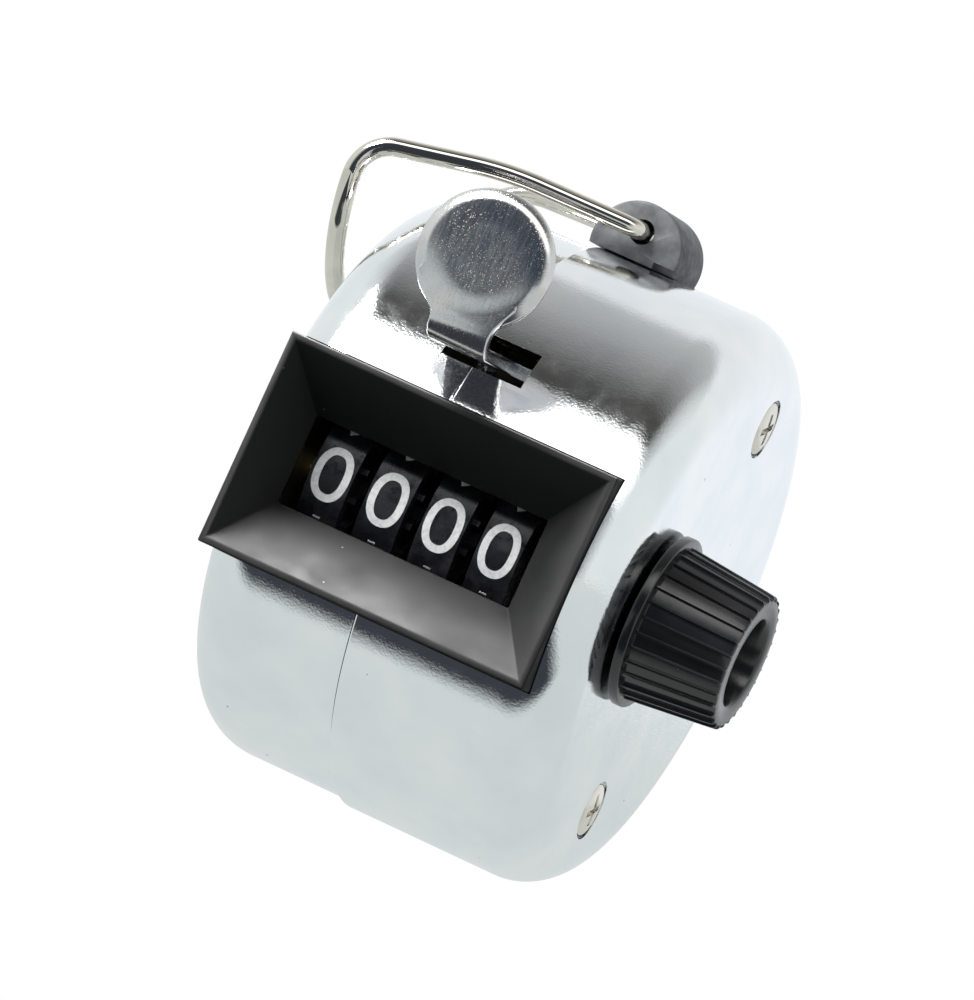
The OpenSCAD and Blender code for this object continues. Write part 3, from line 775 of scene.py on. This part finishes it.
WIRE_D = 1.45
HINGE_X, HINGE_Z = 2.65, 25.2
BLOCK_R, BLOCK_Z, STEM_R = 3.6, 23.9, 1.2
LOOP_ELBOW, LOOP_BEND_STEPS = 1.2, 14
WIRE_HOLE_R = WIRE_D / 2 + 0.25


def loop_block():
    x, y = HINGE_X, (block_low.y + block_high.y) / 2
    y0, y1 = block_low.y, block_high.y
    edge = 0.22
    barrel = [(y0, 0), (y0, BLOCK_R - edge), (y0 + 0.3 * edge, BLOCK_R - 0.3 * edge),
              (y0 + edge, BLOCK_R), (y1 - edge, BLOCK_R), (y1 - 0.3 * edge, BLOCK_R - 0.3 * edge),
              (y1, BLOCK_R - edge), (y1, 0)]
    verts, faces = revolve(barrel, 96)
    verts = [(x + b, a, BLOCK_Z + c) for a, b, c in verts]
    obj = add_mesh("hinge_block", verts, faces, BLOCK_GREY, "case",
                   "grey_block_plastic", ["loop_block"])
    fix_normals(obj.data)
    hole, hole_faces = revolve([(y0 - 1, 0), (y0 - 1, WIRE_HOLE_R),
                                (y1 + 1, WIRE_HOLE_R), (y1 + 1, 0)], 48)
    cut(obj, [
        box_cutter((x - 6, y0 - 1, CASE_R - 6), (x + 6, y1 + 1, CASE_R)),
        temp_mesh([(x + b, a, HINGE_Z + c) for a, b, c in hole], hole_faces),
        box_cutter((x + 1.8, y0 - 1, CASE_R - 1), (x + 4, y0 + 0.8, CASE_R + 0.5)),
    ])
    bevel(obj, 0.09, 2, 50)
    stem, stem_faces = revolve([(CASE_R - 2, 0), (CASE_R - 2, STEM_R), (CASE_R + 0.4, STEM_R),
                                (CASE_R + 0.4, 0)], 40)
    joined(obj, [temp_mesh([(x + b, y + c, a) for a, b, c in stem], stem_faces)])
    smooth(obj.data, 32)


def filleted(corners, radii, steps):
    """Points along straight runs with a round bend of each radius at each inner corner."""
    path = [Vector(corners[0])]
    for before, corner, after, r in zip(corners, corners[1:], corners[2:], radii):
        corner = Vector(corner)
        u = (Vector(before) - corner).normalized()
        v = (Vector(after) - corner).normalized()
        half = u.angle(v) / 2
        reach = r / math.tan(half)
        middle = corner + (u + v).normalized() * (r / math.sin(half))
        start, end = corner + u * reach - middle, corner + v * reach - middle
        for i in range(steps + 1):
            path.append(middle + start.slerp(end, i / steps).normalized() * r)
    path.append(Vector(corners[-1]))
    return path


def sweep(path, radius, segments):
    """A round wire along a path, with its cut ends rounded off."""
    verts, faces = [], []
    side = None
    rows = [(path[0], 0.8 * radius, 0), (path[0], radius, 0.2 * radius)]
    rows += [(p, radius, 0) for p in path[1:-1]]
    rows += [(path[-1], radius, -0.2 * radius), (path[-1], 0.8 * radius, 0)]
    heads = []
    for i in range(len(path)):
        a, b = path[max(0, i - 1)], path[min(len(path) - 1, i + 1)]
        heads.append((b - a).normalized())
    heads = [heads[0]] + heads + [heads[-1]]
    for (point, r, shift), head in zip(rows, heads):
        if side is None:
            side = head.orthogonal().normalized()
        side = (side - head * side.dot(head)).normalized()
        other = head.cross(side)
        for k in range(segments):
            a = 2 * math.pi * k / segments
            verts.append(point + head * shift + (side * math.cos(a) + other * math.sin(a)) * r)
    n = len(rows)
    for i in range(n - 1):
        for k in range(segments):
            m = (k + 1) % segments
            faces.append((i * segments + k, i * segments + m,
                          (i + 1) * segments + m, (i + 1) * segments + k))
    faces += [tuple(range(segments)), tuple((n - 1) * segments + k for k in range(segments))]
    return verts, faces


def finger_loop():
    """Sprung wire: the front half squared at its corner, the back half crossing lower down."""
    middle, round_r, lean = 1.3, 9.5, 0.06
    end_x, end_z, back_drop, depth = -18.1, 20.4, 3.8, 7.35
    near, far = middle - round_r, middle + round_r
    front = filleted([(HINGE_X, 0.6, HINGE_Z), (HINGE_X, -4.0, HINGE_Z), (-7.5, -6.6, 25.1),
                      (end_x, near, 22.9), (end_x, near, end_z)], [LOOP_ELBOW, 24, 3],
                     LOOP_BEND_STEPS)
    back = filleted([(end_x, far, end_z - back_drop), (end_x, far, 18.4), (-10.5, 9.9, 24.9),
                     (HINGE_X, 6.6, HINGE_Z), (HINGE_X, 2.0, HINGE_Z)],
                    [4, 6, LOOP_ELBOW], LOOP_BEND_STEPS)
    around = []
    steps = 48
    for i in range(1, steps):
        a = math.pi * i / steps
        z = end_z - depth * math.sin(a) - back_drop * (1 - math.cos(a)) / 2
        around.append(Vector((end_x + lean * round_r * math.sin(a),
                              middle - round_r * math.cos(a), z)))
    obj = add_mesh("wire_finger_loop", *sweep(front + around + back, WIRE_D / 2, 28),
                   NICKEL_WIRE, "loop", "nickel_wire", ["finger_loop"])
    fix_normals(obj.data)
    smooth(obj.data, 50)


# ---------------------------------------------------------------- figures on the wheels

WHEEL_R = 8.2
WHEEL_PITCH, WHEEL_X = 4.65, -7.1
FIGURE_W, FIGURE_H, STROKE = 2.32, 3.62, 0.58


def arc(cx, cy, rx, ry, start, end, steps=22, power=1.0):
    """Points on an ellipse; a power under 1 squares its corners a little."""
    points = []
    for i in range(steps + 1):
        a = math.radians(start + (end - start) * i / steps)
        c, s = math.cos(a), math.sin(a)
        points.append((cx + rx * math.copysign(abs(c) ** power, c),
                       cy + ry * math.copysign(abs(s) ** power, s)))
    return points


def figure_strokes(digit):
    """Centre lines of a figure's strokes, about its middle, in millimetres."""
    w, h = FIGURE_W / 2, FIGURE_H / 2
    six = [arc(0, -0.65, w, h - 0.65, 0, 360), arc(w, -0.65, 2 * w, h + 0.65, 180, 112)]
    return {
        0: [arc(0, 0, w, h, 90, 450, 44, 0.86)],
        1: [[(0, h), (0, -h)]],
        2: [arc(0, h - 1.1, w, 1.1, 170, -30) + [(-w, -h), (w, -h)]],
        3: [arc(0, h - 0.9, w - 0.1, 0.9, 150, -90), arc(0, -h + 0.95, w, 0.95, 90, -150)],
        4: [[(0.5, -h), (0.5, h), (-w, -0.7), (w, -0.7)]],
        5: [[(w - 0.1, h), (-w + 0.2, h), (-w + 0.1, 0.2)] + arc(0, -h + 1.2, w, 1.2, 138, -150)],
        6: six,
        7: [[(-w, h), (w, h), (-0.3, -h)]],
        8: [arc(0, h - 0.88, w - 0.15, 0.88, 0, 360), arc(0, -h + 0.95, w, 0.95, 0, 360)],
        9: [[(-x, -y) for x, y in stroke] for stroke in six],
    }[digit]


def ribbon(line):
    """Left and right edges of a stroke along its centre line, with mitred corners."""
    closed = math.dist(line[0], line[-1]) < 1e-6
    if closed:
        line = line[:-1]
    n = len(line)
    edges = []
    for i, (x, y) in enumerate(line):
        a = line[(i - 1) % n] if closed or i else line[0]
        b = line[(i + 1) % n] if closed or i < n - 1 else line[-1]
        into, out = Vector((x - a[0], y - a[1])), Vector((b[0] - x, b[1] - y))
        into, out = (v.normalized() if v.length > 1e-9 else None for v in (into, out))
        into, out = into or out, out or into
        along = (into + out).normalized()
        side = Vector((-along.y, along.x))
        reach = STROKE / 2 / max(0.5, side.dot(Vector((-into.y, into.x))))
        edges.append(((x + side.x * reach, y + side.y * reach),
                      (x - side.x * reach, y - side.y * reach)))
    return edges, closed


def wheel_figures(index):
    """The ten figures round one wheel, printed a little proud of its rim."""
    centre = WHEEL_X + index * WHEEL_PITCH
    low, high = WHEEL_R - 0.05, WHEEL_R + 0.025
    verts, faces = [], []
    for digit in range(10):
        middle = math.radians(-36 * digit)
        lift = 0.0
        for line in figure_strokes(digit):
            edges, closed = ribbon(line)
            first, n = len(verts), len(edges)
            for left, right in edges:
                for (u, v), r in ((left, low), (left, high), (right, high), (right, low)):
                    a = middle + v / WHEEL_R
                    rr = r + (lift if r == high else 0)
                    verts.append((centre + u, AXIS_Y - rr * math.cos(a),
                                  AXIS_Z + rr * math.sin(a)))
            for i in range(n if closed else n - 1):
                m = (i + 1) % n
                for k in range(4):
                    j = (k + 1) % 4
                    faces.append((first + 4 * i + k, first + 4 * i + j,
                                  first + 4 * m + j, first + 4 * m + k))
            if not closed:
                last = first + 4 * (n - 1)
                faces += [(first, first + 1, first + 2, first + 3),
                          (last + 3, last + 2, last + 1, last)]
            lift += 0.004
    body = WHEELS[index].removesuffix("_wheel")
    obj = add_mesh(f"{body}_figures", verts, faces, FIGURE_WHITE, body, "black_wheel_plastic")
    fix_normals(obj.data)
    smooth(obj.data, 40)


case()
bezel = window_frame()
reset_knob()
count_lever()
loop_block()
finger_loop()
for wheel_index in range(len(WHEELS)):
    wheel_figures(wheel_index)


# ---------------------------------------------------------------- floor, world and light

# In reflections the floor goes dark over this range of y and stays pale past this range of |x|
STRIP_Y = (-0.0300, -0.0265)
STRIP_X = (0.038, 0.055)


def floor_finish():
    """Glowing floor: white where it is looked at; to reflections and bounce light it glows pale,
    with a painted dark strip ahead of the part that the chrome shows as a painted dark
    reflection.
    """
    mat = bpy.data.materials.new("pale_floor")
    mat.use_nodes = True
    tree = mat.node_tree
    tree.nodes.clear()
    new, link = tree.nodes.new, tree.links.new
    place_node = new("ShaderNodeNewGeometry")
    split = new("ShaderNodeSeparateXYZ")
    link(place_node.outputs["Position"], split.inputs["Vector"])
    reach = new("ShaderNodeMapRange")
    reach.inputs["From Min"].default_value, reach.inputs["From Max"].default_value = STRIP_Y
    link(split.outputs["Y"], reach.inputs["Value"])
    aside = new("ShaderNodeMath")
    aside.operation = "ABSOLUTE"
    link(split.outputs["X"], aside.inputs[0])
    beside = new("ShaderNodeMapRange")
    beside.inputs["From Min"].default_value, beside.inputs["From Max"].default_value = STRIP_X
    link(aside.outputs["Value"], beside.inputs["Value"])
    pale = new("ShaderNodeMath")
    pale.operation = "MAXIMUM"
    link(reach.outputs["Result"], pale.inputs[0])
    link(beside.outputs["Result"], pale.inputs[1])
    # Painted reflection: the floor's glow for non-camera rays, pale, and dark over the strip
    # ahead of the part
    tone = new("ShaderNodeMix")
    tone.data_type = "RGBA"
    link(pale.outputs["Value"], tone.inputs["Factor"])
    tone.inputs["A"].default_value = (0.045, 0.05, 0.06, 1)
    tone.inputs["B"].default_value = (0.70, 0.74, 0.73, 1)
    reflected = new("ShaderNodeEmission")
    link(tone.outputs["Result"], reflected.inputs["Color"])
    seen = new("ShaderNodeEmission")
    seen.inputs["Color"].default_value = (1, 1, 1, 1)
    path = new("ShaderNodeLightPath")
    blend = new("ShaderNodeMixShader")
    link(path.outputs["Is Camera Ray"], blend.inputs["Fac"])
    link(reflected.outputs["Emission"], blend.inputs[1])
    link(seen.outputs["Emission"], blend.inputs[2])
    out = new("ShaderNodeOutputMaterial")
    link(blend.outputs["Shader"], out.inputs["Surface"])
    return mat


def floor():
    half = 1.5
    mesh = bpy.data.meshes.new("floor")
    z = right_low.z * MM - 0.0001
    mesh.from_pydata([(-half, -half, z), (half, -half, z), (half, half, z), (-half, half, z)],
                     [], [(0, 1, 2, 3)])
    mesh.materials.append(floor_finish())
    obj = bpy.data.objects.new("floor", mesh)
    bpy.context.scene.collection.objects.link(obj)


def studio_world():
    """Surroundings by direction, seen in reflections: banded overhead, pale behind and aside."""
    world = bpy.data.worlds.new("studio")
    bpy.context.scene.world = world
    world.use_nodes = True
    tree = world.node_tree
    tree.nodes.clear()
    new, link = tree.nodes.new, tree.links.new

    def maths(operation, a, b=0.0):
        node = new("ShaderNodeMath")
        node.operation = operation
        for socket, value in zip(node.inputs, (a, b)):
            if isinstance(value, float):
                socket.default_value = value
            else:
                link(value, socket)
        return node.outputs["Value"]

    def ramp(value, stops):
        node = new("ShaderNodeValToRGB")
        elements = node.color_ramp.elements
        while len(elements) < len(stops):
            elements.new(0.5)
        for element, (position, shade) in zip(elements, stops):
            element.position = position
            element.color = (*shade, 1)
        link(value, node.inputs["Fac"])
        return node.outputs["Color"]

    coords = new("ShaderNodeTexCoord")
    split = new("ShaderNodeSeparateXYZ")
    link(coords.outputs["Generated"], split.inputs["Vector"])
    # 0 straight ahead (-Y), 0.5 overhead, 1 straight behind
    lift = maths("ABSOLUTE", split.outputs["Z"])
    ahead = maths("MULTIPLY", split.outputs["Y"], -1.0)
    turn = maths("MULTIPLY", maths("ARCTAN2", lift, ahead), 1 / math.pi)
    arch = ramp(turn, [
        (0.0, (0.035, 0.05, 0.075)), (0.17, (0.05, 0.06, 0.08)), (0.205, (2.0, 2.0, 2.0)),
        (0.29, (2.4, 2.4, 2.36)), (0.335, (0.06, 0.058, 0.055)), (0.39, (0.08, 0.08, 0.075)),
        (0.46, (0.24, 0.24, 0.24)), (0.54, (0.40, 0.41, 0.41)), (0.62, (0.50, 0.52, 0.52)),
        (0.66, (0.85, 0.87, 0.88)),
        (1.0, (0.93, 0.97, 1.0))])
    sides = ramp(maths("ABSOLUTE", split.outputs["X"]),
                 [(0.45, (0, 0, 0)), (0.80, (1, 1, 1))])
    blend_sides = new("ShaderNodeMix")
    blend_sides.data_type = "RGBA"
    link(sides, blend_sides.inputs["Factor"])
    link(arch, blend_sides.inputs["A"])
    blend_sides.inputs["B"].default_value = (0.84, 0.88, 0.87, 1)
    around = new("ShaderNodeBackground")
    link(blend_sides.outputs["Result"], around.inputs["Color"])
    seen = new("ShaderNodeBackground")
    seen.inputs["Color"].default_value = (1, 1, 1, 1)
    path = new("ShaderNodeLightPath")
    blend = new("ShaderNodeMixShader")
    link(path.outputs["Is Camera Ray"], blend.inputs["Fac"])
    link(around.outputs["Background"], blend.inputs[1])
    link(seen.outputs["Background"], blend.inputs[2])
    out = new("ShaderNodeOutputWorld")
    link(blend.outputs["Shader"], out.inputs["Surface"])


def softbox(name, direction, distance, size, watts, only=()):
    """Area light aimed at the origin; it lights just the pieces in only, if any are named."""
    data = bpy.data.lights.new(name, "AREA")
    data.shape = "RECTANGLE"
    data.size, data.size_y = size
    data.energy = watts
    obj = bpy.data.objects.new(name, data)
    bpy.context.scene.collection.objects.link(obj)
    aim = Vector(direction).normalized()
    obj.location = aim * distance
    obj.rotation_euler = aim.to_track_quat("Z", "Y").to_euler()
    if only:
        lit = bpy.data.collections.new(name + "_reach")
        for piece in only:
            lit.objects.link(piece)
        obj.light_linking.receiver_collection = lit


# ---------------------------------------------------------------- camera

CAMERA_AZIMUTH, CAMERA_HEIGHT, CAMERA_ROLL = 15.45, 0.26, 24.52
CAMERA_DISTANCE = 0.6749
LENS, SENSOR = 324.0, 36.0
SHIFT_X, SHIFT_Y = 0.0082, 0.0285


def camera():
    az, el, roll = (math.radians(v) for v in (CAMERA_AZIMUTH, CAMERA_HEIGHT, CAMERA_ROLL))
    back = Vector((math.sin(az) * math.cos(el), -math.cos(az) * math.cos(el), math.sin(el)))
    right = Vector((0, 0, 1)).cross(back).normalized()
    up = back.cross(right)
    x_axis = math.cos(roll) * right + math.sin(roll) * up
    y_axis = -math.sin(roll) * right + math.cos(roll) * up
    data = bpy.data.cameras.new("camera")
    data.lens, data.sensor_width = LENS, SENSOR
    data.shift_x, data.shift_y = SHIFT_X, SHIFT_Y
    data.clip_start, data.clip_end = 0.05, 20
    obj = bpy.data.objects.new("camera", data)
    bpy.context.scene.collection.objects.link(obj)
    turn = Matrix((x_axis, y_axis, back)).transposed().to_4x4()
    obj.matrix_world = Matrix.Translation(back * CAMERA_DISTANCE) @ turn
    bpy.context.scene.camera = obj


floor()
studio_world()
softbox("key", (-0.6, -0.5, 0.7), 0.9, (0.5, 0.35), 22)
softbox("frame_light", (-0.42, -0.1, 0.9), 0.7, (0.45, 0.45), 60, [bezel])
camera()
bpy.context.scene.view_settings.view_transform = "Standard"
